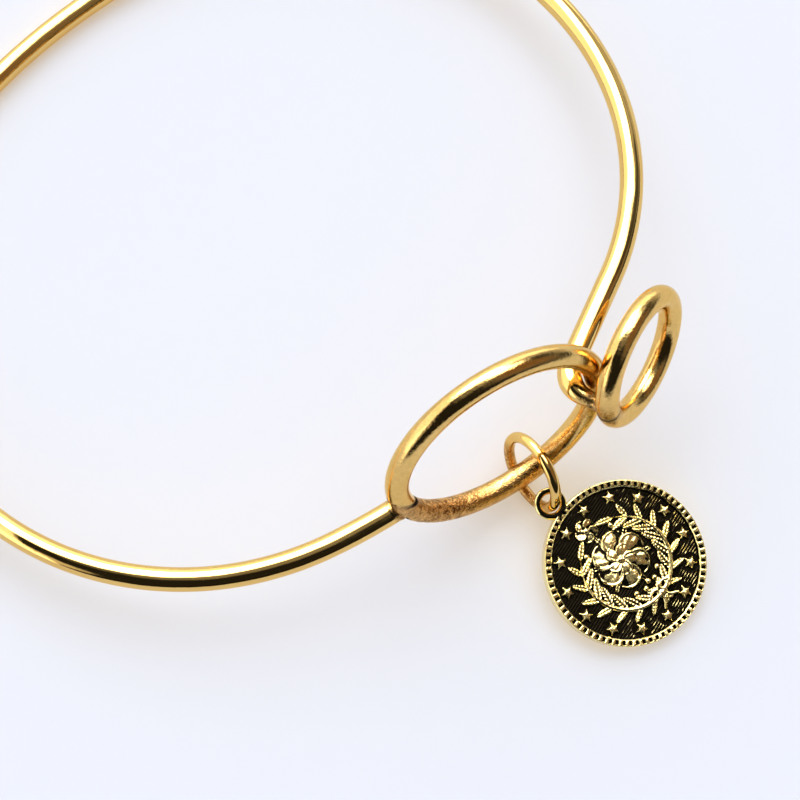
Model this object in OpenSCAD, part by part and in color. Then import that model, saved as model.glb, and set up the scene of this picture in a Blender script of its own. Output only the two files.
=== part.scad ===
// Hook bangle of round wire with two end rings and a coin charm on a jump ring, as it rests on a table.
// Millimetres, +Z up. The closure is towards -Y, and the origin is under the middle of the whole piece.
// The wire, the two end rings and their solder are one solid: the wire's left end is soldered to the
// large ring, and its right end is bent round the large ring as a hook and soldered to the small ring.

/* [Bangle wire] */
// Diameter of the round wire
wire_d = 2.05; // [1.6:0.05:2.4]
// Half width of the oval along X, to the middle of the wire
oval_half_x = 34.3; // [33:0.1:36]
// Half width of the oval along Y, to the middle of the wire
oval_half_y = 28.3; // [27.5:0.1:29.5]
// Distance of the oval's side arcs' centres from its own centre
side_centre = 6.85; // [6.7:0.05:10]
// How far the oval leans, with its closure up (degrees)
lean = 6.75; // [5:0.25:8]
// How far its right side is up (degrees)
roll = 1.1; // [0:0.1:2]
// How far the sprung right end rises out of the oval's plane (degrees)
spring = 7.6; // [7:0.1:8]

/* [Hook] */
// Turn of the right side before the wire runs straight (degrees)
side_turn = 63.7; // [63:0.1:64.5]
// Straight run before the bend
hook_run = 9.05; // [8.6:0.05:9.4]
// Radius of the bend, to the middle of the wire
hook_r = 2.64; // [2.5:0.02:2.8]
// Turn of the bend (degrees)
hook_turn = 96; // [90:1:100]
// Straight end that meets the small ring
hook_end = 1.35; // [1:0.05:1.6]

/* [Large end ring] */
// Diameter of its wire
ring_wire_d = 2.0; // [1.6:0.05:2.4]
// Radius to the middle of its wire
large_r = 9.55; // [9.4:0.05:9.7]
// Place of its centre, from the oval's centre
large_at = [2.36, -29.37, 3.31]; // [-30:0.01:4]
// Direction that its face looks in (degrees round Z)
large_face = -99.3; // [-101:0.1:-98]
// Tilt of its axis from Z (degrees)
large_tilt = 81.6; // [80:0.1:83]
// How far the bangle's left end stops from the oval's middle line
left_end_x = 7.2; // [6.8:0.1:8]

/* [Small end ring] */
// Radius to the middle of its wire
small_r = 5.37; // [5.2:0.01:5.5]
// Place of its centre, from the oval's centre
small_at = [15.83, -31.8, 2.95]; // [-33:0.01:17]
// Direction that its face looks in (degrees round Z)
small_face = -70.3; // [-72:0.1:-69]
// Tilt of its axis from Z (degrees)
small_tilt = 78.8; // [77:0.1:80]

/* [Solder] */
// Diameter of the solder fillet at the large ring
large_solder_d = 2.3; // [2.1:0.05:2.5]
// Diameter of the solder bead at the small ring
small_solder_d = 2.3; // [2.1:0.05:2.5]

/* [Jump ring] */
// Diameter of its wire
jump_wire_d = 0.94; // [0.8:0.02:1]
// Radius to the middle of its wire
jump_r = 3.33; // [3.25:0.01:3.4]
// Place of its centre along X and Y, from the oval's centre
jump_at = [4.08, -32.03]; // [-33:0.01:5]
// Direction that its face looks in (degrees round Z)
jump_face = 171; // [169:0.5:173]
// Tilt of its axis from Z (degrees)
jump_tilt = 77.3; // [76:0.1:79]

/* [Coin charm] */
// Radius of the coin
coin_r = 7.15; // [6.8:0.05:7.5]
// Thickness at its rim
coin_t = 1.25; // [1:0.05:1.6]
// Height of the sunk field
field_z = 0.85; // [0.6:0.05:1]
// Place of the middle of its back along X and Y, from the oval's centre
coin_at = [5.32, -42.79]; // [-44:0.01:7]
// Tilt of the coin, with its bail up (degrees)
coin_tilt = 10.5; // [8:0.25:13]
// Direction that the coin leans towards (degrees round Z)
coin_face = -85; // [-95:1:-75]
// Direction of the bail from the coin's centre (degrees round Z)
bail_side = 102.8; // [95:0.2:110]
// Distance of the bail's centre from the coin's
bail_at = 8.18; // [8:0.02:8.3]
// Radius of the bail, to the middle of its wire
bail_r = 1.12; // [1.05:0.01:1.2]
// Diameter of the bail's wire
bail_wire_d = 0.6; // [0.5:0.05:0.7]

/* [Coin relief] */
// Inner radius of the raised rim
rim_inner_r = 6.5; // [6.3:0.05:6.7]
// Number of notches in the rim
notches = 72; // [60:2:100]
// Radial length of a notch
notch_length = 0.42; // [0.3:0.02:0.5]
// Width of a notch
notch_w = 0.3; // [0.2:0.01:0.34]
// Number of stars
stars = 14; // [8:1:16]
// Radius of the circle that the stars stand on
star_circle_r = 5.75; // [5.5:0.05:5.85]
// Radius of a star's points
star_r = 0.57; // [0.3:0.02:0.6]
// Leaves on each side of a frond's rib
leaves = 8; // [4:1:9]
// Radius of the curve of a frond's rib
frond_r = 4.0; // [3.6:0.1:4.2]
// Length of the longest leaf
leaf_length = 1.9; // [1.2:0.05:2]
// Radius of the flower
flower_r = 2.1; // [1.2:0.05:2.2]
// Height of the flower's middle above the coin's
flower_y = 0.7; // [0.4:0.1:1]
// Number of petals
petals = 6; // [5:1:8]

/* [Hidden] */
$fn = 48;

gold = "goldenrod";
dark_gold = "darkgoldenrod";

// Four tangent arcs make the oval: two of side_radius at its sides, two of flat_radius at its front and
// back, whose centres lie flat_centre beyond the oval's middle.
oval_step = oval_half_x - oval_half_y;
flat_centre = oval_step * (2 * side_centre - oval_step) / (2 * (side_centre - oval_step));
side_radius = oval_half_x - side_centre;
flat_radius = oval_half_y + flat_centre;
flat_half_turn = atan2(side_centre, flat_centre);
side_half_turn = 90 - flat_half_turn;
left_end_turn = asin(left_end_x / flat_radius);

// The oval's far side touches the table: its lowest point lies on the back arc, in the direction that
// the world's Z axis falls in the oval's own plane.
down_x = -sin(roll);
down_y = sin(lean) * cos(roll);
slope = norm([down_x, down_y]);
oval_z = wire_d / 2 + slope * flat_radius - flat_centre * down_y;

// Where the whole piece ends along Y, for an origin under its middle
back_y = oval_half_y * cos(lean) + wire_d / 2;
coin_normal_y = sin(coin_tilt) * sin(coin_face);
coin_front_y = coin_at[1] + coin_t * coin_normal_y - coin_r * sqrt(1 - pow(coin_normal_y, 2));
origin_y = (back_y + coin_front_y) / 2;

joint_extra_d = 0.04;
joint_length = 0.4;
joint_gap = 0.05;
jump_z = jump_wire_d / 2 + jump_r * sin(jump_tilt);
coin_z = coin_r * sin(coin_tilt);
coin_spin = bail_side - 90 - coin_face;

// How far the left end's solder stands out of the sawn end
solder_offset = 0.2;
relief_sink = 0.1;
low_relief = 0.2;
high_relief = 0.32;
star_inner = 0.45;
// A leaf's outline: half width, and where it is widest, as shares of its length
leaf_half = 0.2;
leaf_widest = 0.3;
leaf_shoulder = 0.65;
leaf_shoulder_half = 0.85;
// A frond starts left of the coin's foot and curves up its side, its leaves splayed off the rib
frond_start = 250;
frond_turn = 165;
rib_half = 0.17;
leaf_splay = 42;
first_leaf = 14;
outer_leaf = 0.62;
leaf_taper = 0.5;
// A petal's size and its distance from the flower's middle, as shares of the flower's radius
petal_size = 0.4;
petal_at = 0.6;
eye_size = 0.42;

// A ring of round wire about the Z axis
module wire_ring(radius, d) {
    rotate_extrude() translate([radius, 0]) circle(d = d);
}

// Joins two lengths of wire that meet along X: their ends stop just short of its middle, and it is a hair
// wider than they are
module wire_joint() {
    rotate([0, 90, 0]) cylinder(h = joint_length, d = wire_d + joint_extra_d, center = true);
}

// A straight length of wire along +X, and what follows it at its end
module straight_wire(length) {
    translate([joint_gap, 0, 0]) rotate([0, 90, 0]) cylinder(h = length - 2 * joint_gap, d = wire_d);
    translate([length, 0, 0]) {
        wire_joint();
        children();
    }
}

// A bent length of wire that starts along +X, and what follows it at its end: a positive turn bends
// towards +Y, a negative one towards -Y
module bent_wire(radius, turn) {
    centre = [0, sign(turn) * radius, 0];
    gap_turn = joint_gap / radius * 180 / PI;
    translate(centre)
        rotate([0, 0, (turn > 0 ? -90 : 90 + turn) + gap_turn])
            rotate_extrude(angle = abs(turn) - 2 * gap_turn) translate([radius, 0]) circle(d = wire_d);
    translate(centre) rotate([0, 0, turn]) translate(-centre) {
        wire_joint();
        children();
    }
}

// Lays a piece that is drawn about the Z axis so that its axis looks towards face, tilt from Z
module looking(face, tilt) {
    rotate([0, tilt, face]) children();
}

// From the right side round the back to the left end, in the oval's own plane
module oval_wire() {
    translate([oval_half_x, 0, 0]) rotate([0, 0, 90]) {
        wire_joint();
        bent_wire(side_radius, side_half_turn)
            bent_wire(flat_radius, 2 * flat_half_turn)
                bent_wire(side_radius, 2 * side_half_turn)
                    bent_wire(flat_radius, flat_half_turn - left_end_turn);
    }
}

// From the right side to the front, sprung up out of that plane, with the hook at its end
module hook_wire() {
    translate([oval_half_x, 0, 0]) rotate([0, spring, 0]) rotate([0, 0, -90])
        bent_wire(side_radius, -side_turn)
            straight_wire(hook_run)
                bent_wire(hook_r, hook_turn)
                    straight_wire(hook_end)
                        sphere(d = small_solder_d);
}

module large_ring() {
    translate(large_at) looking(large_face, large_tilt) wire_ring(large_r, ring_wire_d);
    translate([-left_end_x + solder_offset, -flat_radius * cos(left_end_turn) + flat_centre, 0]) sphere(d = large_solder_d);
}

module small_ring() {
    translate(small_at) looking(small_face, small_tilt) wire_ring(small_r, ring_wire_d);
}

module bangle() {
    color(gold)
        translate([0, -origin_y, oval_z]) rotate([-lean, -roll, 0]) {
            oval_wire();
            hook_wire();
            large_ring();
            small_ring();
        }
}

module jump_ring() {
    color(gold)
        translate([jump_at[0], jump_at[1] - origin_y, jump_z])
            looking(jump_face, jump_tilt) wire_ring(jump_r, jump_wire_d);
}

module star(radius) {
    inner = radius * star_inner;
    polygon([for (i = [0:9]) let (r = i % 2 == 0 ? radius : inner) [-r * sin(i * 36), r * cos(i * 36)]]);
}

// A pointed leaf along +X
module leaf(length) {
    half_w = length * leaf_half;
    shoulder = length * leaf_shoulder;
    polygon([[0, 0], [length * leaf_widest, half_w], [shoulder, half_w * leaf_shoulder_half], [length, 0],
             [shoulder, -half_w * leaf_shoulder_half], [length * leaf_widest, -half_w]]);
}

module raised(height) {
    translate([0, 0, field_z - relief_sink]) linear_extrude(height = relief_sink + height) children();
}

module rim() {
    raised(coin_t - field_z) difference() {
        circle(r = coin_r);
        circle(r = rim_inner_r);
        for (i = [0:notches - 1])
            rotate(i * 360 / notches)
                translate([(rim_inner_r + coin_r - notch_length) / 2, -notch_w / 2]) square([notch_length, notch_w]);
    }
}

module star_ring() {
    for (i = [0:stars - 1])
        rotate((i + 0.5) * 360 / stars) translate([0, star_circle_r, 0]) raised(high_relief) star(star_r);
}

// A palm frond on one side of the coin (side is 1 or -1): a curved rib with pointed leaves on both sides
module frond(side) {
    steps = 24;
    arc = [for (i = [0:steps]) frond_start + i * frond_turn / steps];
    inner = frond_r - rib_half;
    outer = frond_r + rib_half;
    mirror([side > 0 ? 0 : 1, 0, 0]) {
        raised(high_relief)
            polygon(concat([for (a = arc) [outer * cos(a), outer * sin(a)]],
                           [for (i = [steps:-1:0]) [inner * cos(arc[i]), inner * sin(arc[i])]]));
        for (i = [0:leaves - 1])
            let (a = frond_start + first_leaf + i * (frond_turn - first_leaf) / leaves,
                 length = leaf_length * (1 - leaf_taper * abs(i - leaves / 2) / leaves))
                for (out = [-1, 1])
                    rotate(a) translate([frond_r, 0, 0]) rotate(90 - out * leaf_splay)
                        raised(low_relief) leaf(length * (out > 0 ? outer_leaf : 1));
    }
}

module flower() {
    translate([0, flower_y, 0]) {
        for (i = [0:petals - 1])
            rotate(i * 360 / petals) translate([flower_r * petal_at, 0, 0])
                raised(low_relief) circle(r = flower_r * petal_size);
        raised(high_relief) circle(r = flower_r * eye_size);
    }
}

module coin_charm() {
    color(dark_gold)
        translate([coin_at[0], coin_at[1] - origin_y, coin_z])
            looking(coin_face, coin_tilt) rotate(coin_spin) {
                cylinder(r = coin_r, h = field_z);
                rim();
                star_ring();
                frond(1);
                frond(-1);
                flower();
                translate([0, bail_at, coin_t / 2]) wire_ring(bail_r, bail_wire_d);
            }
}

bangle();
jump_ring();
coin_charm();
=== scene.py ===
# %% [markdown]
# Hook bangle with a coin charm.
# The bangle is one length of round brass wire, bent to an oval, with an end ring soldered to each end.
# It closes by hooking the right end round the large ring. A cast coin hangs from that ring on a jump ring.
# This lesson models the wire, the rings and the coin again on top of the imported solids, in the same places,
# because the solids have no solder, seams, casting marks or fine relief.

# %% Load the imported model
import math

import bpy
import numpy as np
from mathutils import Matrix, Vector


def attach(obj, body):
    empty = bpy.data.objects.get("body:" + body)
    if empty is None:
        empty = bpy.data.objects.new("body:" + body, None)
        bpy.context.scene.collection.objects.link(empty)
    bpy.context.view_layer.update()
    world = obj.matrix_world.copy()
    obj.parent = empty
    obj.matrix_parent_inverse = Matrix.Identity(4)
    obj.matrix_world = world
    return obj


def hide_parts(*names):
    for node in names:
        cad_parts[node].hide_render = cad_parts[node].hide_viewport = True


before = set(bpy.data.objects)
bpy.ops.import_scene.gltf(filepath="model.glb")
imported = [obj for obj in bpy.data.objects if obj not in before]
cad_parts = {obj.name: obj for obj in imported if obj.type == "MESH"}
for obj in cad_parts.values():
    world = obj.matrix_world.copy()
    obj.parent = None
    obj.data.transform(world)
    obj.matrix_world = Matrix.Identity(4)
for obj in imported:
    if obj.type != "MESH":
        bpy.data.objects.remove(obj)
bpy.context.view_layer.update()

# %% [markdown]
# Small helpers come first. Blender works in metres and a jeweller in millimetres, so every size is written in
# millimetres and multiplied by mm. Colours are picked as on a screen, and linear() turns them into light.

# %% Helpers for sizes, colours and places
mm = 0.001


def linear(hex_colour):
    """A screen colour such as ffcc88 as linear light, with alpha."""
    parts = [int(hex_colour[i:i + 2], 16) / 255 for i in (0, 2, 4)]
    return [c / 12.92 if c <= 0.04045 else ((c + 0.055) / 1.055) ** 2.4 for c in parts] + [1.0]


def turn(angle, axis):
    """A turn by degrees about X, Y or Z."""
    return Matrix.Rotation(math.radians(angle), 4, axis)


def looking(face, tilt):
    """A frame whose Z axis looks towards face, tilt from upright."""
    return turn(face, "Z") @ turn(tilt, "Y")


def at(x, y, z):
    """A shift in millimetres."""
    return Matrix.Translation((x * mm, y * mm, z * mm))


print("screen white as light:", linear("ffffff"))

# %% [markdown]
# Operators work on what is selected, as by hand. So the next helpers select a piece or a part of it, and do
# the few jobs that every piece needs: merging doubles, shading, applying a modifier and laying it in place.

# %% Helpers for selecting and finishing pieces


def deselect():
    """Leaves edit mode with nothing selected."""
    if bpy.context.object and bpy.context.object.mode != "OBJECT":
        bpy.ops.object.mode_set(mode="OBJECT")
    bpy.ops.object.select_all(action="DESELECT")


def activate(*pieces):
    """Selects these pieces alone, the first one active."""
    deselect()
    for piece in pieces:
        piece.select_set(True)
    bpy.context.view_layer.objects.active = pieces[0]


def edit(piece, kind="VERT"):
    """Enters edit mode on one piece, with nothing of it selected."""
    activate(piece)
    bpy.ops.object.mode_set(mode="EDIT")
    bpy.ops.mesh.select_mode(type=kind)
    bpy.ops.mesh.select_all(action="DESELECT")


def pick(piece, test, kind="VERT"):
    """In edit mode, selects the vertices or faces whose place passes the test, and counts them."""
    bpy.ops.object.mode_set(mode="OBJECT")
    mesh = piece.data
    for group in (mesh.vertices, mesh.edges, mesh.polygons):
        group.foreach_set("select", [False] * len(group))
    chosen = 0
    for item in mesh.vertices if kind == "VERT" else mesh.polygons:
        if test(item.co if kind == "VERT" else item.center):
            item.select = True
            chosen += 1
    bpy.ops.object.mode_set(mode="EDIT")
    bpy.ops.mesh.select_mode(type=kind)
    return chosen


def tidy_mesh(piece, merge=0.002 * mm):
    """Merges doubles and turns the faces outwards."""
    edit(piece)
    bpy.ops.mesh.select_all(action="SELECT")
    bpy.ops.mesh.remove_doubles(threshold=merge)
    bpy.ops.mesh.normals_make_consistent(inside=False)
    bpy.ops.object.mode_set(mode="OBJECT")


def settle(piece, place):
    """Lays a finished piece where it belongs and leaves its object at the origin, unturned."""
    activate(piece)
    piece.matrix_world = place
    bpy.ops.object.transform_apply(location=True, rotation=True, scale=True)


def smooth(piece, angle=35):
    """Shades smooth, but for edges sharper than the angle."""
    activate(piece)
    bpy.ops.object.shade_smooth_by_angle(angle=math.radians(angle))


def apply_modifier(piece, kind, **settings):
    """Adds a modifier with its settings and applies it at once."""
    activate(piece)
    modifier = piece.modifiers.new(kind.lower(), kind)
    for name, value in settings.items():
        setattr(modifier, name, value)
    bpy.ops.object.modifier_apply(modifier=modifier.name)


fine_merge = 0.0005 * mm
print("doubles merge within", fine_merge / mm, "mm where the mesh is fine")

# %% [markdown]
# The camera stands above the closure and looks steeply down at it, turned a little on its own axis, so that
# the oval's far side runs out of the picture. A long lens of 90 mm keeps the small coin free of distortion.

# %% Camera
camera_place = Vector((-33.98, -41.56, 170.33)) * mm
heading = Vector((0.1937, 0.1859, -0.9633)).normalized()
level = Vector((0.6925, -0.7214, 0)).normalized()
roll_angle = math.radians(6.205)
upward = level.cross(heading)
camera_right = math.cos(roll_angle) * level + math.sin(roll_angle) * upward
camera_up = math.cos(roll_angle) * upward - math.sin(roll_angle) * level
camera_data = bpy.data.cameras.new("camera")
camera_data.lens = 90.05
camera_data.sensor_width = 36
camera_data.clip_start = 0.01
camera = bpy.data.objects.new("camera", camera_data)
bpy.context.scene.collection.objects.link(camera)
camera_turn = Matrix((camera_right, camera_up, -heading)).transposed().to_4x4()
camera.matrix_world = Matrix.Translation(camera_place) @ camera_turn
bpy.context.scene.camera = camera
print("camera at", [round(v, 4) for v in camera_place])

# %% [markdown]
# Materials are built from nodes. One small function adds a node, sets it and links it, and a few more are
# for the kinds used most, so that each material reads as a list of its layers.

# %% Node helpers


def add_node(tree, kind, links=None, **settings):
    """Adds a node: settings are its own attributes, links fill its sockets with a value or an output."""
    node = tree.nodes.new(kind)
    for name, value in settings.items():
        setattr(node, name, value)
    for socket, source in (links or {}).items():
        if isinstance(source, bpy.types.NodeSocket):
            tree.links.new(source, node.inputs[socket])
        else:
            node.inputs[socket].default_value = source
    return node


def calculate(tree, operation, *values):
    """A sum, a product or the like, of outputs and numbers."""
    return add_node(tree, "ShaderNodeMath", dict(enumerate(values)), operation=operation).outputs[0]


def blend(tree, share, first, second):
    """Two colours mixed, each an output or a screen colour: the first alone at share 0, the second at 1."""
    ends = [linear(end) if isinstance(end, str) else end for end in (first, second)]
    return add_node(tree, "ShaderNodeMix", {"Factor": share, 6: ends[0], 7: ends[1]},
                    data_type="RGBA").outputs[2]


def stretch(tree, value, ends, new_ends=(0.0, 1.0), **settings):
    """A value between two ends brought to new ends, and held there beyond them."""
    limits = dict(zip(("From Min", "From Max", "To Min", "To Max"), (*ends, *new_ends)))
    return add_node(tree, "ShaderNodeMapRange", {"Value": value, **limits}, **settings).outputs["Result"]


def noise(tree, size, detail, roughness=0.5):
    """Noise whose grains are size mm across on the real piece."""
    place = add_node(tree, "ShaderNodeTexCoord").outputs["Object"]
    return add_node(tree, "ShaderNodeTexNoise", {"Vector": place, "Scale": 1 / (size * mm),
                                                 "Detail": detail, "Roughness": roughness}).outputs["Fac"]


def mask(tree, name):
    """A value that is stored on the vertices under this name."""
    return add_node(tree, "ShaderNodeAttribute", attribute_name=name).outputs["Fac"]


def new_material(name):
    """A material with an empty node tree, and the tree."""
    material = bpy.data.materials.new(name)
    material.use_nodes = True
    material.node_tree.nodes.clear()
    return material, material.node_tree


def finish_material(tree, shader):
    """Links the shader to the surface."""
    add_node(tree, "ShaderNodeOutputMaterial", {"Surface": shader.outputs[0]})
    print("material with", len(tree.nodes), "nodes")


def dress(piece, material):
    """Gives a piece this material alone."""
    piece.data.materials.clear()
    piece.data.materials.append(material)


# %% [markdown]
# The bangle lies on a white table by a large bright window, in a room that is dim on the other side. Polished
# metal shows only what is around it, so the room matters as much as the metal: a broad bright side makes the
# yellow glow, the window itself the white streak, and the dark room the sharp brown band beside it.
# The room is a world shader made of a few soft zones, each given by the direction of its middle.

# %% Zones of the room
world = bpy.data.worlds.new("room")
bpy.context.scene.world = world
world.use_nodes = True
room = world.node_tree
room.nodes.clear()
direction = add_node(room, "ShaderNodeTexCoord").outputs["Generated"]


def zone(middle, start, end, strength):
    """Light that grows from nothing to strength as the direction comes nearer to the zone's middle."""
    nearness = add_node(room, "ShaderNodeVectorMath", {0: direction, 1: Vector(middle).normalized()},
                        operation="DOT_PRODUCT")
    return stretch(room, nearness.outputs["Value"], (start, end), (0.0, strength),
                   interpolation_type="SMOOTHSTEP")


def add_up(values):
    """The sum of several outputs."""
    total = values[0]
    for value in values[1:]:
        total = calculate(room, "ADD", total, value)
    return total


# The columns: direction of the middle, nearness where the light starts and where it is full, strength
near_right = (0.54, -0.54, 0.64)
room_zones = {
    "broad bright side": ((-0.196, 0.85, -0.49), -0.03, 0.05, 1.7),
    "window": ((0.2, 0.62, 0.76), 0.865, 0.955, 8.0),
    "upper pane": ((0.42, 0.12, 0.9), 0.926, 0.975, 6.0),
    "right wall": ((0.95, 0.35, 0.25), 0.75, 0.95, 0.55),
    "wood": (near_right, 0.76, 0.94, 0.24),
    "left wall": ((-0.95, 0.05, 0.3), 0.93, 0.98, 0.8),
    "ceiling": ((0.05, 0.05, 0.99), 0.86, 0.98, 0.3),
}
window_frame = ((0.88, -0.08, 0.47), 0.955, 0.985, -0.85)
dimmest = 0.02
light = add_up([zone(*shape) for shape in room_zones.values()])
# A dark frame stands against the bright side on the right
lit = calculate(room, "ADD", zone(*window_frame), 1.0)
light = calculate(room, "MULTIPLY", light, lit)
light = calculate(room, "ADD", light, dimmest)
print("room zones:", ", ".join(room_zones))

# %% [markdown]
# Three kinds of ray see three versions of the room. Reflections see it as it is. The light that falls on the
# table is turned down, cooler and more even, and a warm lamp without shadows makes up for it, so the shadows
# stay as pale and yellow as they are beside shining gold. The camera sees a plain backdrop.

# %% World shader and warm lamp
fall_share, fall_even = 0.2, 0.63
wall_colour, wood_colour, falling_colour = "fffdf9", "ffcfa6", "d6e6ff"
backdrop_colour, lamp_colour = "eef2f6", "ffd797"
# On the near right the dim room is brown wood, everywhere else it is white or grey
wood = zone(near_right, 0.84, 0.96, 1.0)
room_colour = blend(room, wood, wall_colour, wood_colour)
rays = add_node(room, "ShaderNodeLightPath").outputs
reflected = add_node(room, "ShaderNodeBackground", {"Color": room_colour, "Strength": light})
falling = calculate(room, "MULTIPLY_ADD", light, fall_share, fall_even)
diffuse = add_node(room, "ShaderNodeBackground", {"Color": linear(falling_colour), "Strength": falling})
backdrop = add_node(room, "ShaderNodeBackground", {"Color": linear(backdrop_colour), "Strength": 1.0})
seen = reflected
for ray, other in (("Is Diffuse Ray", diffuse), ("Is Camera Ray", backdrop)):
    seen = add_node(room, "ShaderNodeMixShader", {0: rays[ray], 1: seen.outputs[0], 2: other.outputs[0]})
add_node(room, "ShaderNodeOutputWorld", {"Surface": seen.outputs[0]})
# Each ray finds the room by itself: a lamp-like search for its bright parts would mix the kinds of light
world.cycles.sampling_method = "NONE"
fill_data = bpy.data.lights.new("warm_fill", "SUN")
fill_data.color = linear(lamp_colour)[:3]
fill_data.energy = 1.55
fill_data.use_shadow = False
fill_data.specular_factor = 0
fill_lamp = bpy.data.objects.new("warm_fill", fill_data)
bpy.context.scene.collection.objects.link(fill_lamp)
fill_lamp.visible_glossy = False
bpy.context.scene.view_settings.view_transform = "Standard"
print("world shader with", len(room.nodes), "nodes")

# %% [markdown]
# The table is painted white and only dimly shiny. It lies a hair under the part, so the part rests on it.

# %% The table
table_size, table_gap = 1.6, 0.01
deselect()
bpy.ops.mesh.primitive_plane_add(size=table_size, location=(0, 0, -table_gap * mm))
table = bpy.context.object
table.name = "table"
table_white, tree = new_material("white_table_paint")
shader = add_node(tree, "ShaderNodeBsdfPrincipled", {"Base Color": linear("dde3ea"), "Roughness": 0.6,
                                                     "Specular IOR Level": 0.1})
finish_material(tree, shader)
dress(table, table_white)
print("table", table_size, "m across")

# %% [markdown]
# The wire and rings are brass, polished and then plated with a thin layer of gold. Plating keeps what is
# under it, so the gold shows the slow waves of wire bent by hand and a little orange-peel. It is rough and
# darker only where the casting skin and the solder were left as they came. Masks for those places are stored
# on the vertices.

# %% Polished gold plate
gold, worn_gold, gold_highlight = "ecc97d", "dfb467", "fff3d2"
skin_brown, skin_crumb, grime_black = "6e401c", "e9b877", "140b05"
# Sizes in mm: grains and patches of casting skin, hollows that the polish left, waves of wire bent by hand
grain_size, patch_size, peel_size, wave_size = 0.2, 0.6, 1.4, 6


def gold_plate(name):
    """Gold over polished brass, with casting skin and grime where the masks of those names say."""
    material, tree = new_material(name)
    skin, grime = mask(tree, "casting_skin"), mask(tree, "grime")
    grain, patches = noise(tree, grain_size, 3.0, 0.65), noise(tree, patch_size, 3.0, 0.65)
    peel, wave = noise(tree, peel_size, 2.0), noise(tree, wave_size, 1.0)

    # Colour: two golds in slow waves, brown and light crumbs on the skin, near-black grime over all
    tone = blend(tree, wave, gold, worn_gold)
    crumbs = stretch(tree, calculate(tree, "ADD", grain, patches), (0.8, 1.2))
    rough_tone = blend(tree, crumbs, skin_brown, skin_crumb)
    colour = blend(tree, grime, blend(tree, skin, tone, rough_tone), grime_black)

    # Roughness grows with skin and grime, and grime isn't metal
    polish = stretch(tree, skin, (0.0, 1.0), (0.07, 0.21))
    rough = calculate(tree, "ADD", polish, stretch(tree, grime, (0.0, 1.0), (0.0, 0.4)))
    metal = calculate(tree, "SUBTRACT", 1.0, grime)
    shine = calculate(tree, "MULTIPLY", metal, 0.5)

    # Bumps: waves and orange-peel everywhere, pits on the skin alone
    lumpy = calculate(tree, "MULTIPLY_ADD", patches, 0.9, grain)
    bump_skin = calculate(tree, "MULTIPLY", lumpy, skin)
    slow = add_node(tree, "ShaderNodeBump", {"Height": wave, "Strength": 1.0, "Distance": 0.22 * mm})
    low = add_node(tree, "ShaderNodeBump", {"Height": peel, "Strength": 0.14, "Distance": 0.1 * mm,
                                            "Normal": slow.outputs[0]})
    pits = add_node(tree, "ShaderNodeBump", {"Height": bump_skin, "Strength": 1.0, "Distance": 0.09 * mm,
                                             "Normal": low.outputs[0]})
    shader = add_node(tree, "ShaderNodeBsdfPrincipled",
                      {"Base Color": colour, "Metallic": metal, "Roughness": rough,
                       "Specular IOR Level": shine, "Specular Tint": linear(gold_highlight),
                       "Normal": pits.outputs[0]})
    finish_material(tree, shader)
    return material


polished_gold = gold_plate("polished_gold_plate")
print("material", polished_gold.name)

# %% [markdown]
# The bangle's wire could be a curve with a bevel, but a spun mesh keeps an even spacing of rings round each
# bend. One circle is spun round the middle of each arc in turn, and extruded along the straight runs, from
# the left end clockwise to the hook. A running frame carries the wire's end, its heading and the plane it
# bends in. The oval is four arcs: two of a small radius at its sides, two of a large one between them.

# %% The wire's path
wire_d, ring_wire_d = 2.05, 2.0
# Half the oval along X and Y to the middle of the wire, and how far out the side arcs have their centres
half_x, half_y, side_centre = 34.3, 28.3, 6.85
step_xy = half_x - half_y
flat_centre = step_xy * (2 * side_centre - step_xy) / (2 * (side_centre - step_xy))
side_r, flat_r = half_x - side_centre, half_y + flat_centre
flat_half = math.degrees(math.atan2(side_centre, flat_centre))
side_half = 90 - flat_half

# Degrees: how far the oval's front and its right side are raised, and the hook's arm leaves its plane
lean, roll, spring = 6.75, 1.1, 7.6
origin_y, oval_z = -10.4596, 4.437
oval_frame = at(0, -origin_y, oval_z) @ turn(-roll, "Y") @ turn(-lean, "X")
turning = oval_frame.to_3x3()

# The left end lies this far left of the oval's middle
left_out = 7.2
left_turn = math.degrees(math.asin(left_out / flat_r))
left_a = math.radians(left_turn)
left_end = oval_frame @ (Vector((-left_out, -flat_r * math.cos(left_a) + flat_centre, 0)) * mm)
left_heading = turning @ Vector((-math.cos(left_a), math.sin(left_a), 0))
print("left end", [round(v / mm, 2) for v in left_end], "radii", round(side_r, 2), round(flat_r, 2))

# %% Spin and extrude the wire
ring_spacing = 0.55
wire_end, wire_heading, wire_up = left_end.copy(), left_heading.copy(), turning @ Vector((0, 0, 1))


def run(length):
    """Extrudes the open end straight on."""
    global wire_end
    bpy.ops.mesh.extrude_region_move(TRANSFORM_OT_translate={"value": wire_heading * length * mm})
    wire_end = wire_end + wire_heading * length * mm


def bend(radius, angle, steps=0):
    """Spins the open end round a bend: to the left for a positive angle, to the right for a negative one."""
    global wire_end, wire_heading
    left = wire_up.cross(wire_heading)
    centre = wire_end + left * math.copysign(radius, angle) * mm
    steps = steps or max(6, round(abs(math.radians(angle)) * radius / ring_spacing))
    bpy.ops.mesh.spin(steps=steps, angle=-math.radians(angle), center=centre, axis=wire_up)
    spun = Matrix.Rotation(math.radians(angle), 3, wire_up)
    wire_end = centre + spun @ (wire_end - centre)
    wire_heading = spun @ wire_heading


def scale_end(share):
    """Scales the open end about the wire's middle."""
    bpy.ops.transform.resize(value=(share,) * 3, center_override=wire_end)


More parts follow.
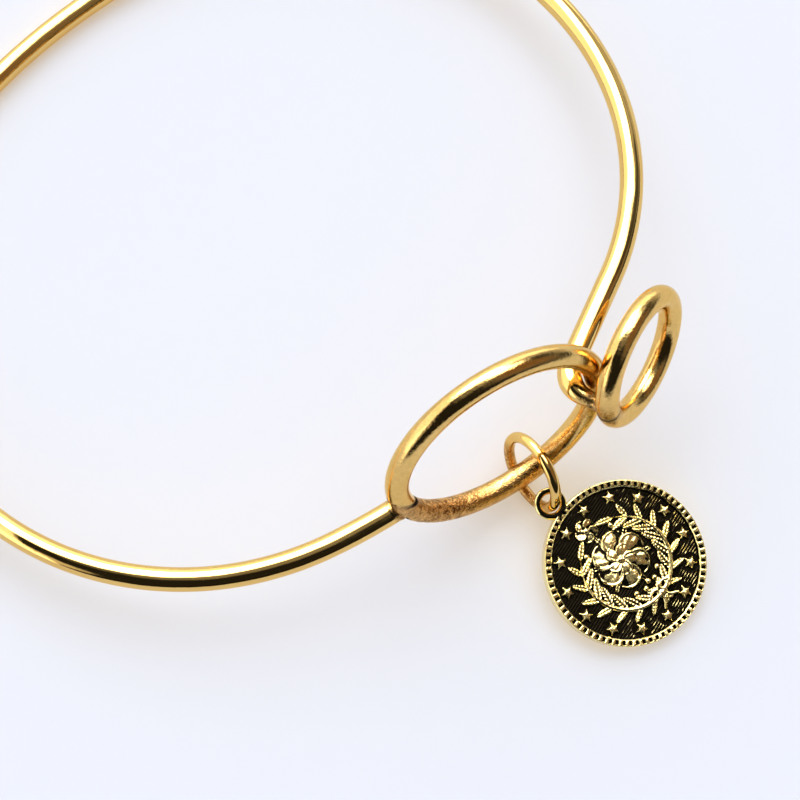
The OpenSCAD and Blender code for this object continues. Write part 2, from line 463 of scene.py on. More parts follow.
# The sawn end has a small burr where it meets the large ring: these are the radii of its loops
collar = [0.98, 1.06, 1.07, 1.045, wire_d / 2]
collar_step = math.degrees(0.12 / flat_r)
deselect()
bpy.ops.mesh.primitive_circle_add(vertices=64, radius=collar[0] * mm, location=wire_end,
                                  rotation=wire_heading.to_track_quat("Z", "Y").to_euler())
wire = bpy.context.object
wire.name = "bangle_wire"
bpy.ops.object.transform_apply(location=True, rotation=True)
bpy.ops.object.mode_set(mode="EDIT")
bpy.ops.mesh.select_all(action="SELECT")
for before, after in zip(collar, collar[1:]):
    bend(flat_r, -collar_step, steps=1)
    scale_end(after / before)

# The oval, clockwise from the left end to the middle of its right side
bend(flat_r, -(flat_half - left_turn) + collar_step * (len(collar) - 1))
bend(side_r, -2 * side_half)
bend(flat_r, -2 * flat_half)
bend(side_r, -side_half)
print("the oval's right side is reached at", [round(v / mm, 2) for v in wire_end])

# %% The hook's arm and its end
arm_turn, arm_length, arm_parts = 63.7, 9.05, 6
hook_r, hook_turn, taper_turn = 2.3, 42, 6
tip_part, tip_parts, tip_taper = 0.46, 4, 0.95
# The arm springs up out of the oval's plane, runs on past the large ring and turns back round it
wire_up = Matrix.Rotation(math.radians(spring), 3, turning @ Vector((0, 1, 0))) @ wire_up
bend(side_r, -arm_turn)
for part in range(arm_parts):
    run(arm_length / arm_parts)
bend(hook_r, hook_turn)
# The filed end tapers towards its solder
for share in (0.98, 0.97, 0.965, 0.96, 0.955, 0.95, 0.95):
    bend(hook_r, taper_turn, steps=1)
    scale_end(share)
for part in range(tip_parts):
    run(tip_part)
    scale_end(tip_taper)
hook_end = wire_end.copy()

# Both cut ends are closed with a face
for end, across in ((left_end, left_heading), (hook_end, wire_heading)):
    pick(wire, lambda p: (p - end).length < 1.5 * mm and abs((p - end).dot(across)) < 0.02 * mm)
    bpy.ops.mesh.edge_face_add()
tidy_mesh(wire)
print("hook ends at", [round(v / mm, 2) for v in hook_end], "faces", len(wire.data.polygons))

# %% [markdown]
# Each end ring is a length of wire a hair thinner, bent round and closed. The two cut ends meet at a butt
# seam, which stays as a thin dark groove. On the large ring the solder ran over a length of wire beside the
# seam and was never polished, so the metal there is pitted. The ring starts as a torus, the groove is cut in
# with bisect and narrowed, and the pitted length is subdivided and displaced.

# %% Closed rings and their seams


def closed_ring(name, place, radius, wire_diameter, around, section):
    """A ring of round wire about its own Z axis, laid at its place."""
    deselect()
    bpy.ops.mesh.primitive_torus_add(
        align="WORLD", location=place.to_translation(), rotation=place.to_euler(), major_segments=around,
        minor_segments=section, major_radius=radius * mm, minor_radius=wire_diameter / 2 * mm)
    ring = bpy.context.object
    ring.name = name
    bpy.ops.object.transform_apply(location=True, rotation=True)
    return ring


def on_ring(place, radius, angle):
    """The middle of the wire at an angle round the ring."""
    a = math.radians(angle)
    return place @ (Vector((radius * math.cos(a), radius * math.sin(a), 0)) * mm)


def seam_normal(place, angle, slant):
    """The direction across a seam: along the wire, leaning outwards where the wire was sawn on a slant."""
    a = math.radians(angle)
    along = place.to_3x3() @ Vector((-math.sin(a), math.cos(a), 0))
    outward = place.to_3x3() @ Vector((math.cos(a), math.sin(a), 0))
    return (along + slant * outward).normalized()


def cut_seam(ring, place, radius, angle, half_width, narrowing, reach, slant=0.0):
    """Cuts a butt seam across the wire: loops close together, the middle one narrowed to a groove."""
    middle, across = on_ring(place, radius, angle), seam_normal(place, angle, slant)
    for offset in (-2 * half_width, -half_width, half_width, 2 * half_width, 0):
        edit(ring, "FACE")
        pick(ring, lambda p: (p - middle).length < reach * mm, "FACE")
        bpy.ops.mesh.bisect(plane_co=middle + across * offset * mm, plane_no=across)
    pick(ring, lambda p: (p - middle).length < reach * mm and abs((p - middle).dot(across)) < 0.004 * mm)
    bpy.ops.transform.resize(value=(narrowing,) * 3, center_override=middle)
    bpy.ops.object.mode_set(mode="OBJECT")


# %% The large and the small end ring
large_place = oval_frame @ at(2.36, -29.37, 3.31) @ looking(-99.3, 81.6)
small_place = oval_frame @ at(15.83, -31.8, 2.95) @ looking(-70.3, 78.8)
large_r, small_r = 9.55, 5.37
large_seam, large_slant, small_seam = 275.1, 1.37, 271
large = closed_ring("large_ring", large_place, large_r, ring_wire_d, 200, 48)
small = closed_ring("small_ring", small_place, small_r, ring_wire_d, 128, 48)
cut_seam(large, large_place, large_r, large_seam, half_width=0.1, narrowing=0.82, reach=2.6,
         slant=large_slant)
cut_seam(small, small_place, small_r, small_seam, half_width=0.08, narrowing=0.86, reach=1.6)
print("rings", len(large.data.polygons), len(small.data.polygons))

# %% Casting skin beside the large ring's seam
# The pitted length in degrees round the ring, and how its depth grows past the seam and fades at its far end
skin_from, skin_to, skin_fade = 262, 348, 30
skin_start, skin_rise = 0.2, 0.4
# The mesh is made finer from this far past the seam on
fine_from = 0.15
turned_back = large_place.inverted()
seam_middle = on_ring(large_place, large_r, large_seam)
seam_across = seam_normal(large_place, large_seam, large_slant)


def ring_angle(point):
    """Degrees round the large ring."""
    q = turned_back @ point
    return math.degrees(math.atan2(q.y, q.x)) % 360


def past_seam(point):
    """How far past the large ring's seam a point lies, in mm."""
    return (point - seam_middle).dot(seam_across) / mm


edit(large, "FACE")
pick(large, lambda p: skin_from < ring_angle(p) < skin_to and past_seam(p) > fine_from, "FACE")
bpy.ops.mesh.subdivide(number_cuts=3, smoothness=1.0)
bpy.ops.object.mode_set(mode="OBJECT")
skin_group = large.vertex_groups.new(name="skin")
for vertex in large.data.vertices:
    angle = ring_angle(vertex.co)
    if skin_from < angle < skin_to:
        fade = min((past_seam(vertex.co) - skin_start) / skin_rise, (skin_to - angle) / skin_fade, 1)
        if fade > 0:
            skin_group.add([vertex.index], fade, "REPLACE")
pitting = bpy.data.textures.new("pitting", "CLOUDS")
pitting.noise_scale = 0.4 * mm
pitting.noise_depth = 3
apply_modifier(large, "DISPLACE", texture=pitting, texture_coords="LOCAL", strength=0.07 * mm, mid_level=0.55,
               vertex_group="skin")
print("large ring with its pitted length", len(large.data.polygons), "faces")

# %% [markdown]
# Solder fills the corner between wire and ring. Each joint gets a small lump: a roughened sphere, which at
# the hook is also pressed a little out of round. Boolean unions then make one solid of wire, rings and lumps,
# because soldered metal is one piece and its reflections must not show one part inside another.

# %% Solder and union


def solder_lump(name, centre, size, noise_size):
    """A lump of solder, size across along X, Y and Z, roughened with lumps of noise_size. All in mm."""
    deselect()
    bpy.ops.mesh.primitive_uv_sphere_add(segments=40, ring_count=24, radius=0.5 * mm, location=centre)
    lump = bpy.context.object
    lump.name = name
    bpy.ops.transform.resize(value=size)
    bpy.ops.object.transform_apply(location=True, rotation=True, scale=True)
    grain = bpy.data.textures.new(name, "CLOUDS")
    grain.noise_scale = noise_size * mm
    apply_modifier(lump, "DISPLACE", texture=grain, texture_coords="LOCAL", strength=0.3 * mm, mid_level=0.5)
    return lump


lumps = [solder_lump("left_solder", left_end - left_heading * 0.25 * mm, (2.1, 2.1, 2.1), 0.55),
         solder_lump("hook_solder", hook_end, (1.3, 1.2, 1.3), 0.6)]
for piece in [large, small] + lumps:
    tidy_mesh(piece, fine_merge)
    apply_modifier(wire, "BOOLEAN", object=piece, operation="UNION", solver="EXACT")
    bpy.data.objects.remove(piece)
bangle = wire
bangle.name = "bangle_of_wire"
tidy_mesh(bangle, fine_merge)
smooth(bangle)
print("bangle", len(bangle.data.polygons), "faces")

# %% [markdown]
# The plating is matt on the casting skin and black where grime stays: in the seams, between the lumps of
# solder and at the sawn end. How much of each a point has could be painted by hand. Here it is worked out
# from the point's place, so it follows the seams wherever they are moved.

# %% Helpers for masks


def store(piece, name, values):
    """Stores a value for each vertex, under a name that the material reads."""
    attribute = piece.data.attributes.new(name, "FLOAT", "POINT")
    attribute.data.foreach_set("value", np.ascontiguousarray(values, dtype=np.float32))


def points(piece):
    """The places of all vertices, in metres."""
    flat = np.empty(len(piece.data.vertices) * 3, dtype=np.float32)
    piece.data.vertices.foreach_get("co", flat)
    return flat.reshape(-1, 3).astype(float)


def fade_out(distance, near, far):
    """1 up to near, 0 from far on, smooth between."""
    t = np.clip((far - distance) / (far - near), 0, 1)
    return t * t * (3 - 2 * t)


def ring_coordinates(where, place):
    """Degrees round a ring, distance from its axis and height along it."""
    inverse = np.array(place.inverted())
    q = where @ inverse[:3, :3].T + inverse[:3, 3]
    return np.degrees(np.arctan2(q[:, 1], q[:, 0])) % 360, np.hypot(q[:, 0], q[:, 1]), q[:, 2]


def away_from(where, point):
    """Distance of each place from a point, in mm."""
    return np.linalg.norm(where - np.array(point), axis=1) / mm


# %% Skin and grime on the end rings
# Points this near to the middle of a ring's wire are the ring's, and they are tumbled, not buffed like the
# long wire
wire_reach, tumbled = 1.25, 0.18
where = points(bangle)


def round_the_ring(place, radius, seam):
    """Which points are on the ring's wire, their degrees past its seam, and their distance from its axis."""
    angle, reach, height = ring_coordinates(where, place)
    on_wire = np.hypot(reach - radius * mm, height) < wire_reach * mm
    return on_wire, (angle - seam + 180) % 360 - 180, reach / mm


# Large ring: near the slanted seam the distance to its plane counts. The dirt lies on the wire's inner side,
# and the skin thins out in two steps, in degrees past the seam
on_wire, past, from_axis = round_the_ring(large_place, large_r, large_seam)
off_plane = (where - np.array(seam_middle)) @ np.array(seam_across) / mm
off_seam = np.where(np.abs(past) < 20, off_plane, past)
outer_side = (from_axis - large_r) / (ring_wire_d / 2)
dirt = np.clip(0.5 - 0.8 * outer_side, 0.1, 1) * fade_out(np.abs(off_seam), 0.1, 0.3)
rough_part = (off_seam > 0) * (fade_out(past, 40, 78) * 0.45 + fade_out(past, 95, 150) * 0.55)
skin = on_wire * np.maximum(rough_part, tumbled)
grime = on_wire * dirt

# Small ring: a straight seam with a short length of skin
on_wire, past, _ = round_the_ring(small_place, small_r, small_seam)
off_seam = past * math.pi / 180 * small_r
rough_part = (off_seam > 0) * fade_out(past, 3, 10) * 0.6
skin = np.maximum(skin, on_wire * np.maximum(rough_part, tumbled))
grime = np.maximum(grime, on_wire * fade_out(np.abs(off_seam), 0.07, 0.2) * 0.9)
print("skin on", int((skin > 0.5).sum()), "vertices of the rings")

# %% Skin and grime at the solder
for lump_at, size in ((left_end, 0.95), (hook_end, 0.9)):
    skin = np.maximum(skin, fade_out(away_from(where, lump_at), size, size + 0.4) * 0.9)
skin = np.maximum(skin, fade_out(away_from(where, hook_end), 1.5, 2.8) * 0.4)
# The solder at the hook dried in small lumps with flux in between
spots = np.sin(where[:, 0] * 8 / mm) * np.sin(where[:, 1] * 9 / mm + 1) * np.sin(where[:, 2] * 7 / mm)
joint = hook_end - wire_heading * 0.7 * mm
flux = fade_out(away_from(where, joint), 0.9, 1.4) * np.clip(4 * spots - 0.2, 0, 0.9)
grime = np.maximum(grime, flux)
# A dark line stays where the sawn end meets the large ring
off_cut = (where - np.array(left_end)) @ np.array(left_heading) / mm
at_cut = (away_from(where, left_end) < 1.3) * fade_out(np.abs(off_cut + 0.06), 0.06, 0.22)
grime = np.maximum(grime, at_cut)
store(bangle, "casting_skin", skin)
store(bangle, "grime", grime)
dress(bangle, polished_gold)
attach(bangle, "root")
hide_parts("bangle")
print("skin on", int((skin > 0.5).sum()), "vertices, grime on", int((grime > 0.5).sum()))

# %% [markdown]
# The jump ring is thinner wire, cut and closed round the large ring and the coin's bail. Its cut ends meet
# in a fine line. It is polished, but its lower half, the half nearer the table, is made darker brown and
# rougher.

# %% Jump ring
jump_r, jump_wire, jump_tilt, jump_seam = 3.33, 0.94, 77.3, 221
jump_z = jump_wire / 2 + jump_r * math.sin(math.radians(jump_tilt))
jump_place = at(4.08, -32.03 - origin_y, jump_z) @ looking(171, jump_tilt)
jump = closed_ring("jump_link", jump_place, jump_r, jump_wire, 128, 32)
cut_seam(jump, jump_place, jump_r, jump_seam, half_width=0.03, narrowing=0.9, reach=0.8)
tidy_mesh(jump, fine_merge)
smooth(jump)
where = points(jump)
angle = ring_coordinates(where, jump_place)[0]
store(jump, "grime", fade_out(np.abs(angle - jump_seam) * math.pi / 180 * jump_r, 0.015, 0.06))
# Points lower than the ring's middle, nearer the table, get the darker brown, rougher skin
above_middle = (where[:, 2] - jump_place.to_translation().z) / mm
store(jump, "casting_skin", 0.7 * fade_out(above_middle, -1.0, 0.6))
dress(jump, polished_gold)
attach(jump, "root")
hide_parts("jump_ring")
print("jump ring", len(jump.data.polygons), "faces")

# %% [markdown]
# The coin is cast: a disc with a raised rim, a sunk field and a low relief. After plating it is blackened all
# over and rubbed, so the black stays in every hollow and the gold shines on every high place. The disc and
# rim are shaped from one circle, extruded ring by ring, and the rim's notches are pressed in afterwards.

# %% Coin disc
coin_r, coin_t, field_z, rim_r = 7.15, 1.25, 0.85, 6.5
notch_from, notch_to, notches, notch_depth = 6.63, 7.035, 72, 0.4
coin_tilt = 10.5
coin_z = coin_r * math.sin(math.radians(coin_tilt))
coin_place = at(5.32, -42.79 - origin_y, coin_z) @ looking(-85, coin_tilt) @ turn(97.8, "Z")
# The rim slopes from its inner lip up to its notched top, and the field's floor lies under the relief
lip_z = coin_t - 0.12
floor_r, floor_z = 6.47, 0.72
round_edge = 0.07
# Radius and height of each loop: over the rim, down the side and across the back to its shallow step
disc_loops = ((notch_from, coin_t), (notch_to, coin_t), (coin_r - 0.06, coin_t),
              (coin_r, coin_t - round_edge), (coin_r, round_edge), (coin_r - round_edge, 0),
              (6.5, 0), (6.35, 0.1))


def next_ring(radius, height, before):
    """Extrudes the selected loop to another radius and height about the coin's axis."""
    bpy.ops.mesh.extrude_region_move(TRANSFORM_OT_translate={"value": (0, 0, (height - before[1]) * mm)})
    scale = radius / before[0]
    bpy.ops.transform.resize(value=(scale, scale, 1), center_override=(0, 0, 0))
    return radius, height


deselect()
bpy.ops.mesh.primitive_circle_add(vertices=4 * notches, radius=rim_r * mm, location=(0, 0, lip_z * mm))
coin = bpy.context.object
coin.name = "coin_with_relief"
bpy.ops.object.transform_apply(location=True, rotation=True)
bpy.ops.object.mode_set(mode="EDIT")
bpy.ops.mesh.select_all(action="SELECT")
level_now = (rim_r, lip_z)
for radius, height in disc_loops:
    level_now = next_ring(radius, height, level_now)
bpy.ops.mesh.edge_face_add()
# Back at the lip, the field's wall goes down and its floor closes the disc
pick(coin, lambda p: abs(p.xy.length - rim_r * mm) < 0.01 * mm and p.z > coin_t / 2 * mm)
next_ring(floor_r, floor_z, (rim_r, lip_z))
bpy.ops.mesh.edge_face_add()
tidy_mesh(coin, fine_merge)
print("disc", len(coin.data.polygons), "faces")

# %% Notched rim


def in_notch(p):
    """The rim's top is a row of four faces to a notch: the two middle ones sink."""
    off = (math.degrees(math.atan2(p.y, p.x)) * notches / 360 + 0.5) % 1 - 0.5
    on_top = p.z > (coin_t - 0.01) * mm
    return on_top and notch_from < p.xy.length / mm < notch_to and abs(off) < 0.25


edit(coin, "FACE")
print("notch faces", pick(coin, in_notch, "FACE"))
bpy.ops.mesh.extrude_region_move(TRANSFORM_OT_translate={"value": (0, 0, -notch_depth * mm)})
apply_modifier(coin, "BEVEL", width=0.075 * mm, segments=3, limit_method="ANGLE",
               angle_limit=math.radians(35))
print("disc and rim", len(coin.data.polygons), "faces")

# %% [markdown]
# Stars stand in a ring just inside the rim. One star is a ten-sided cone whose every other corner is drawn
# in, which gives the five pitched points of a cast star. It is softened with a bevel and copied round the
# ring.

# %% Stars
stars, star_circle, star_points = 14, 5.75, 5
star_foot, star_top, star_height, star_sunk, star_waist = 0.84, 0.4, 0.46, 0.1, 0.56
point_angle = 360 / star_points
deselect()
bpy.ops.mesh.primitive_cone_add(vertices=2 * star_points, radius1=star_foot * mm, radius2=star_top * mm,
                                depth=star_height * mm,
                                location=(0, 0, (field_z - star_sunk + star_height / 2) * mm))
star = bpy.context.object
bpy.ops.object.transform_apply(location=True, rotation=True)
edit(star)


def inner_corner(p):
    """The corners half-way between two points."""
    around = math.degrees(math.atan2(p.x, p.y)) % point_angle
    return p.xy.length > 0.2 * mm and point_angle / 4 < around < point_angle * 3 / 4


pick(star, inner_corner)
bpy.ops.transform.resize(value=(star_waist, star_waist, 1), center_override=(0, 0, 0))
apply_modifier(star, "BEVEL", width=0.05 * mm, segments=3, limit_method="ANGLE", angle_limit=math.radians(20))
copies = []
for i in range(stars):
    copy = bpy.data.objects.new("star_" + str(i), star.data.copy())
    bpy.context.scene.collection.objects.link(copy)
    settle(copy, turn((i + 0.5) * 360 / stars, "Z") @ at(0, star_circle, 0))
    copies.append(copy)
bpy.data.objects.remove(star)
activate(*copies)
bpy.ops.object.join()
star_ring = bpy.context.object
print("stars", len(star_ring.data.polygons), "faces")

# %% [markdown]
# The relief has a flower between two fronds, over a field of fine ruled lines. Leaves that overlap and melt
# into each other can't be extruded one by one, so the relief is a height field, as an engraver's machine cuts
# it: a fine grid lies over the field, and a few functions say how high the metal stands at each point.
# The grid's rows run along the ruled lines, six rows to a line, so the lines stay clean. All is in mm.

# %% Domes, leaves and fronds
# The rib's radius about the coin's middle, the degrees where it starts and ends, and those without leaves
frond_r, frond_from, frond_to, bare_stem = 4.0, 250, 415, 14
leaf_pairs, leaf_length, rib_half = 8, 2.05, 0.26
vein_depth, vein_width = 0.13, 0.06
crease_height, crease_pitch, crease_slant = 0.03, 0.3, 1.2
# Keeps a division from meeting a width of nothing
tiny = 1e-6


def dome(distance, half_width, height, fullness=0.5):
    """A rounded ridge or boss: height in the middle, nothing at half_width."""
    return height * np.clip(1 - (distance / half_width) ** 2, 0, 1) ** fullness


def turned(x, y, angle, cx=0.0, cy=0.0):
    """Coordinates about a centre, along and across a heading in degrees."""
    a = math.radians(angle)
    return ((x - cx) * math.cos(a) + (y - cy) * math.sin(a), -(x - cx) * math.sin(a) + (y - cy) * math.cos(a))


def leaf(x, y, root_x, root_y, heading, length, share, height):
    """One leaf from its root: a pointed dome with a middle vein and slanting creases, share wide for long."""
    s, w = turned(x, y, heading, root_x, root_y)
    t = s / length
    swell = np.clip(t + 0.08, 0, 1) ** 0.5 * np.clip(1 - t, 0, 1) ** 0.55
    half = np.maximum(share * length * swell, tiny)
    body = dome(w, half, height, 0.5) * (t > 0) * (t < 1)
    vein = vein_depth * np.exp(-(w / vein_width) ** 2)
    creases = crease_height * np.cos(2 * math.pi * (s - crease_slant * np.abs(w)) / crease_pitch)
    return np.where(body > 0.02, np.maximum(body - vein + creases * (np.abs(w) > 0.08), 0), 0)


def frond_leaf(x, y, i, leaf_turn, size, share, height):
    """A leaf at the frond's place number i, at an angle to the rib. The middle leaves are the longest."""
    root = frond_from + bare_stem + i * (frond_to - frond_from - bare_stem) / leaf_pairs
    a = math.radians(root)
    length = leaf_length * (1 - 0.4 * abs(i - leaf_pairs / 2) / leaf_pairs) * size
    return leaf(x, y, frond_r * math.cos(a), frond_r * math.sin(a), root + leaf_turn, length, share, height)


def frond(x, y):
    """Rib, pairs of leaves and an end leaf, on the right side."""
    start = frond_from - 20
    angle = (np.degrees(np.arctan2(y, x)) - start) % 360 + start
    taper = np.clip((frond_to - angle) / 60, 0.3, 1) * (angle > frond_from)
    rib = dome(np.hypot(x, y) - frond_r, rib_half * taper + tiny, 0.37) * (angle < frond_to)
    leaves = [frond_leaf(x, y, i, leaf_turn, size, 0.41, 0.31 + 0.04 * (i % 2))
              for i in range(leaf_pairs) for leaf_turn, size in ((134, 1.0), (44, 0.8))]
    return np.maximum.reduce([rib, frond_leaf(x, y, leaf_pairs, 95, 1.0, 0.38, 0.3)] + leaves)


print("frond with", 2 * leaf_pairs + 1, "leaves")

# %% Flowers, ribbon and buds
flower_y, flower_r, petals, inner_petals = 0.5, 2.5, 6, 5
small_flower_y = 4.35
# X and Y of each bud on the right side
buds = ((0.62, -2.75), (1.5, -2.35), (0.0, -2.5), (1.75, 3.0))
edge_height, edge_width, petal_crease, petal_tilt = 0.09, 0.085, 0.022, 0.12


def petal_ring(x, y, count, offset, ring_r, petal_r, height, centre_y):
    """Round petals that overlap, each tilted, with a rolled edge and fine creases."""
    high = np.zeros_like(x)
    for i in range(count):
        px, py = turned(x, y, offset + i * 360 / count, 0, centre_y)
        d = np.hypot(px - ring_r, py * 0.92)
        edge = edge_height * np.exp(-((d - petal_r * 0.86) / edge_width) ** 2)
        crease = petal_crease * np.cos(np.arctan2(py, px + 0.3) * 22) * np.clip(d / petal_r, 0, 1)
        one = dome(d, petal_r, height - 0.07, 0.42) + petal_tilt * py / petal_r + edge + crease
        high = np.maximum(high, np.where(d < petal_r, one, 0))
    return high


def large_flower(x, y):
    """Pointed leaves, an outer and an inner ring of petals, and a beaded boss."""
    high = np.zeros_like(x)
    for i in range(petals):
        heading = 30 + i * 360 / petals
        a = math.radians(heading)
        root_x, root_y = 1.4 * math.cos(a), flower_y + 1.4 * math.sin(a)
        high = np.maximum(high, leaf(x, y, root_x, root_y, heading, 1.5, 0.4, 0.22))
    outer = petal_ring(x, y, petals, 0, flower_r * 0.6, flower_r * 0.47, 0.31, flower_y)
    inner = petal_ring(x, y, inner_petals, 18, flower_r * 0.3, flower_r * 0.3, 0.38, flower_y)
    high = np.maximum(high, np.maximum(outer, inner))
    boss = np.hypot(x, y - flower_y)
    beads = 0.035 * np.cos(x * 19) * np.cos((y - flower_y) * 19)
    return np.maximum(high, np.where(boss < 0.42, dome(boss, 0.45, 0.38, 0.35) + beads, 0))


def small_flower(x, y):
    """The flower that closes the wreath above."""
    high = petal_ring(x, y, 5, 90, 0.6, 0.5, 0.28, small_flower_y)
    return np.maximum(high, dome(np.hypot(x, y - small_flower_y), 0.32, 0.36, 0.5))


def ribbon(x, y):
    """The ribbon round the stems: loop and tail of its right half, and the knot. With that side's buds."""
    bx, by = turned(x, y, -18, 0.72, -3.7)
    high = dome(np.hypot(bx / 1.6, by) - 0.34, 0.17, 0.36, 0.5)
    tx, ty = turned(x, y, -62, 0.25, -4.15)
    high = np.maximum(high, dome(ty + 0.12 * np.sin(tx * 4), 0.19, 0.32, 0.5) * (tx > 0) * (tx < 1.2))
    for bud_x, bud_y in buds:
        high = np.maximum(high, dome(np.hypot(x - bud_x, y - bud_y), 0.28, 0.33, 0.5))
    return np.maximum(high, dome(np.hypot(x, (y + 4.0) * 1.2), 0.42, 0.39, 0.4))


print("flower with", petals, "outer petals")

# %% Ruled lines, and the whole relief
line_pitch, line_height, ruling_turn = 0.24, 0.09, 4.4
star_clear = 0.75


def nearest_star(x, y):
    """Distance to the middle of the nearest star."""
    sector = 2 * math.pi / stars
    nearest = (np.round((np.arctan2(y, x) - math.pi / 2) / sector - 0.5) + 0.5) * sector + math.pi / 2
    return np.hypot(x - star_circle * np.cos(nearest), y - star_circle * np.sin(nearest))


def ruled_lines(x, y, across):
    """Fine lines that stop short of each star, and are worn faint towards the upper left."""
    ruled = 1 - np.abs((across / line_pitch) % 1 - 0.5) * 2
    unworn = np.clip(0.65 + (0.593 * x - 0.805 * y) / 10, 0.3, 1)
    kept = unworn * np.clip((nearest_star(x, y) - star_clear) / 0.2, 0, 1)
    return line_height * kept * np.clip((ruled - 0.45) / 0.35, 0, 1)


def relief(x, y, across):
    """Height over the field: the highest of all that stands there. Across is measured over the lines."""
    return np.maximum.reduce([ruled_lines(x, y, across), frond(x, y), frond(-x, y), large_flower(x, y),
                              small_flower(x, y), ribbon(x, y), ribbon(-x, y)])


print("lines", line_pitch, "mm apart")

# %% Relief grid
grid_size, along_cells, across_cells = 13.2, 220, 330
field_r, field_depth, field_base = 6.56, 0.2, 0.6
deselect()
bpy.ops.mesh.primitive_grid_add(x_subdivisions=along_cells, y_subdivisions=across_cells, size=grid_size * mm)
field = bpy.context.object
edit(field, "FACE")
pick(field, lambda p: p.xy.length > field_r * mm, "FACE")
bpy.ops.mesh.delete(type="FACE")
bpy.ops.object.mode_set(mode="OBJECT")
grid = points(field)
local_x, local_y = turned(grid[:, 0] / mm, grid[:, 1] / mm, -ruling_turn)
grid[:, 2] = (field_z + relief(local_x, local_y, grid[:, 1] / mm)) * mm
field.data.vertices.foreach_set("co", grid.astype(np.float32).ravel())
settle(field, turn(ruling_turn, "Z"))
# Its edge goes down to a flat base below the floor, so that it is a closed solid
edit(field)
bpy.ops.mesh.select_non_manifold(extend=False, use_wire=False, use_boundary=True, use_multi_face=False,
                                 use_non_contiguous=False, use_verts=False)
bpy.ops.mesh.extrude_region_move(TRANSFORM_OT_translate={"value": (0, 0, -field_depth * mm)})
bpy.ops.transform.resize(value=(1, 1, 0), center_override=(0, 0, field_base * mm))
bpy.ops.mesh.edge_face_add()
bpy.ops.mesh.select_all(action="SELECT")
bpy.ops.mesh.normals_make_consistent(inside=False)
print("relief", len(field.data.polygons), "faces")

# %% Bail, and one solid of it all
bail_y, bail_r, bail_wire = 8.18, 1.12, 0.6
bail = closed_ring("bail", at(0, bail_y, coin_t / 2), bail_r, bail_wire, 64, 24)
for piece in (field, star_ring, bail):
    apply_modifier(coin, "BOOLEAN", object=piece, operation="UNION", solver="EXACT")
    bpy.data.objects.remove(piece)
tidy_mesh(coin, 0.0003 * mm)
print("coin", len(coin.data.polygons), "faces")

# %% [markdown]
# How bright each point is rubbed depends on how it stands to its neighbours: cloth touches what stands proud
# within a fraction of a millimetre. The height field is blurred, and the difference says how proud a point
# is. The rim, the stars, the bail and the back get their own rule, as they aren't in the height field.

# %% Map of the rubbed relief
sample, map_half = 0.04, 6.6
# How far the cloth bridges hollows, and how bright it rubs everything, what stands proud and what is high
cloth_reach = 0.24
rub_all, rub_proud, rub_high = 0.06, 9.0, 3.6
axis = np.arange(-map_half, map_half + sample / 2, sample)
map_x, map_y = np.meshgrid(axis, axis)
across_lines = turned(map_x, map_y, ruling_turn)[1]
heights = relief(map_x, map_y, across_lines)


def blur(values, radius):
    """Mean over a square of that half width, twice, by running sums."""
    n = max(1, round(radius / sample))
    for _ in range(2):
        for turn_axis in (0, 1):
            margins = [(n + 1, n) if a == turn_axis else (0, 0) for a in (0, 1)]
            total = np.cumsum(np.pad(values, margins, mode="edge"), axis=turn_axis)
            size = values.shape[turn_axis]
            upper = np.take(total, range(2 * n + 1, 2 * n + 1 + size), axis=turn_axis)
            lower = np.take(total, range(0, size), axis=turn_axis)
            values = (upper - lower) / (2 * n + 1)
    return values


proud = heights - blur(heights, cloth_reach)
rub_map = np.clip(rub_all + rub_proud * proud + rub_high * np.clip(heights - 0.08, 0, 0.2), 0, 1)
print("map of", rub_map.shape, "samples, mean", round(float(rub_map.mean()), 2))

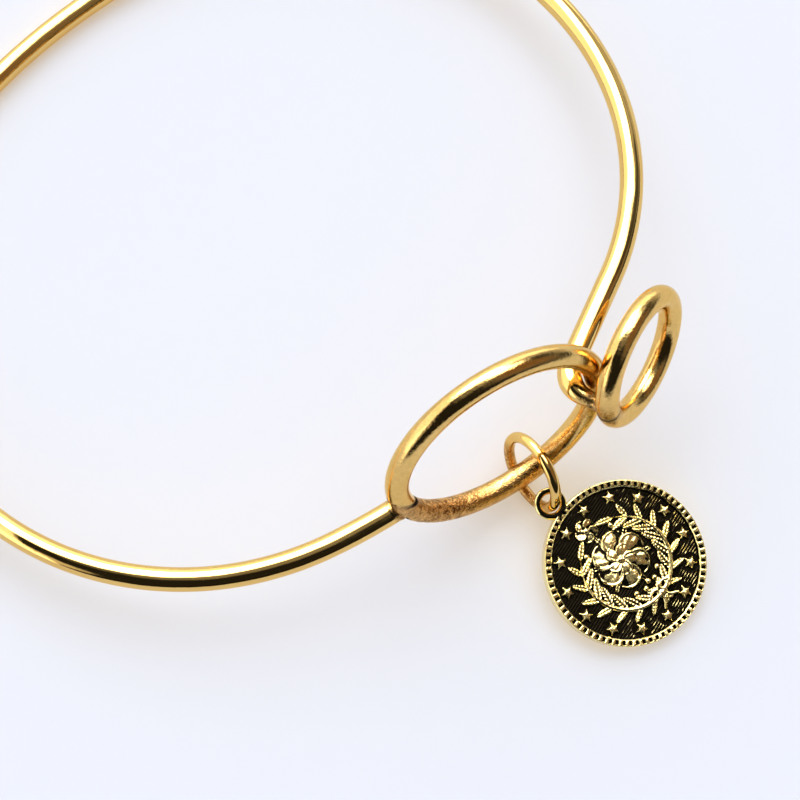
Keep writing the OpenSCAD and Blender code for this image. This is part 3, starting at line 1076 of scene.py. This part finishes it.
# %% Rubbed gold mask
where = points(coin) / mm
column = np.clip((where[:, 0] + map_half) / sample, 0, len(axis) - 1.001)
row = np.clip((where[:, 1] + map_half) / sample, 0, len(axis) - 1.001)
c0, r0 = column.astype(int), row.astype(int)
fc, fr = column - c0, row - r0
rubbed = (rub_map[r0, c0] * (1 - fc) * (1 - fr) + rub_map[r0, c0 + 1] * fc * (1 - fr)
          + rub_map[r0 + 1, c0] * (1 - fc) * fr + rub_map[r0 + 1, c0 + 1] * fc * fr)
reach = np.hypot(where[:, 0], where[:, 1])
high = where[:, 2]
# The rim is rubbed on top and black in its notches
rubbed = np.where(reach > rim_r - 0.1, np.clip((high - 1.1) / 0.12, 0, 1), rubbed)
rubbed = np.where((nearest_star(where[:, 0], where[:, 1]) < 0.8) & (high > field_z + 0.06), 1.0, rubbed)
# The outer side and the back are smooth, so they are rubbed bare
rubbed = np.where((reach > coin_r - 0.1) | (high < 0.5), 1.0, rubbed)
# The bail keeps its black on the front, along the middle of its wire
from_bail = np.hypot(where[:, 0], where[:, 1] - bail_y)
on_bail = (from_bail < bail_r + 0.35) & (where[:, 1] > 6.9)
bail_face = np.clip((np.abs(from_bail - bail_r) - 0.13) / 0.08, 0, 1)
rubbed = np.where(on_bail, np.where(high > coin_t / 2 + 0.05, bail_face, 1.0), rubbed)
store(coin, "rubbed", rubbed)
settle(coin, coin_place)
smooth(coin, 50)
print("rubbed share", round(float(rubbed.mean()), 2))

# %% [markdown]
# The coin's finish is gold plate under black patina. The black is a thin oxide, darker and less shiny than
# the metal, with a soft edge where the cloth wore it thin.

# %% Antiqued gold
patina_black, rubbed_gold = "14110b", "f0de9a"
wear_size, lump_size = 0.45, 0.32
antique, tree = new_material("antiqued_gold_plate")
worn = calculate(tree, "ADD", mask(tree, "rubbed"), noise(tree, wear_size, 3.0))
bare = stretch(tree, worn, (0.85, 1.15), interpolation_type="SMOOTHSTEP")
colour = blend(tree, bare, patina_black, rubbed_gold)
gloss = stretch(tree, bare, (0.0, 1.0), (0.42, 0.15))
# Cast metal is never quite smooth: lumps about 0.3 mm across catch the light one by one
lumpy = add_node(tree, "ShaderNodeBump", {"Height": noise(tree, lump_size, 2.0), "Strength": 0.6,
                                          "Distance": 0.06 * mm}).outputs[0]
shader = add_node(tree, "ShaderNodeBsdfPrincipled", {"Base Color": colour, "Metallic": 1.0,
                                                     "Roughness": gloss, "Normal": lumpy})
finish_material(tree, shader)
dress(coin, antique)
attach(coin, "root")
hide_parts("coin_charm")
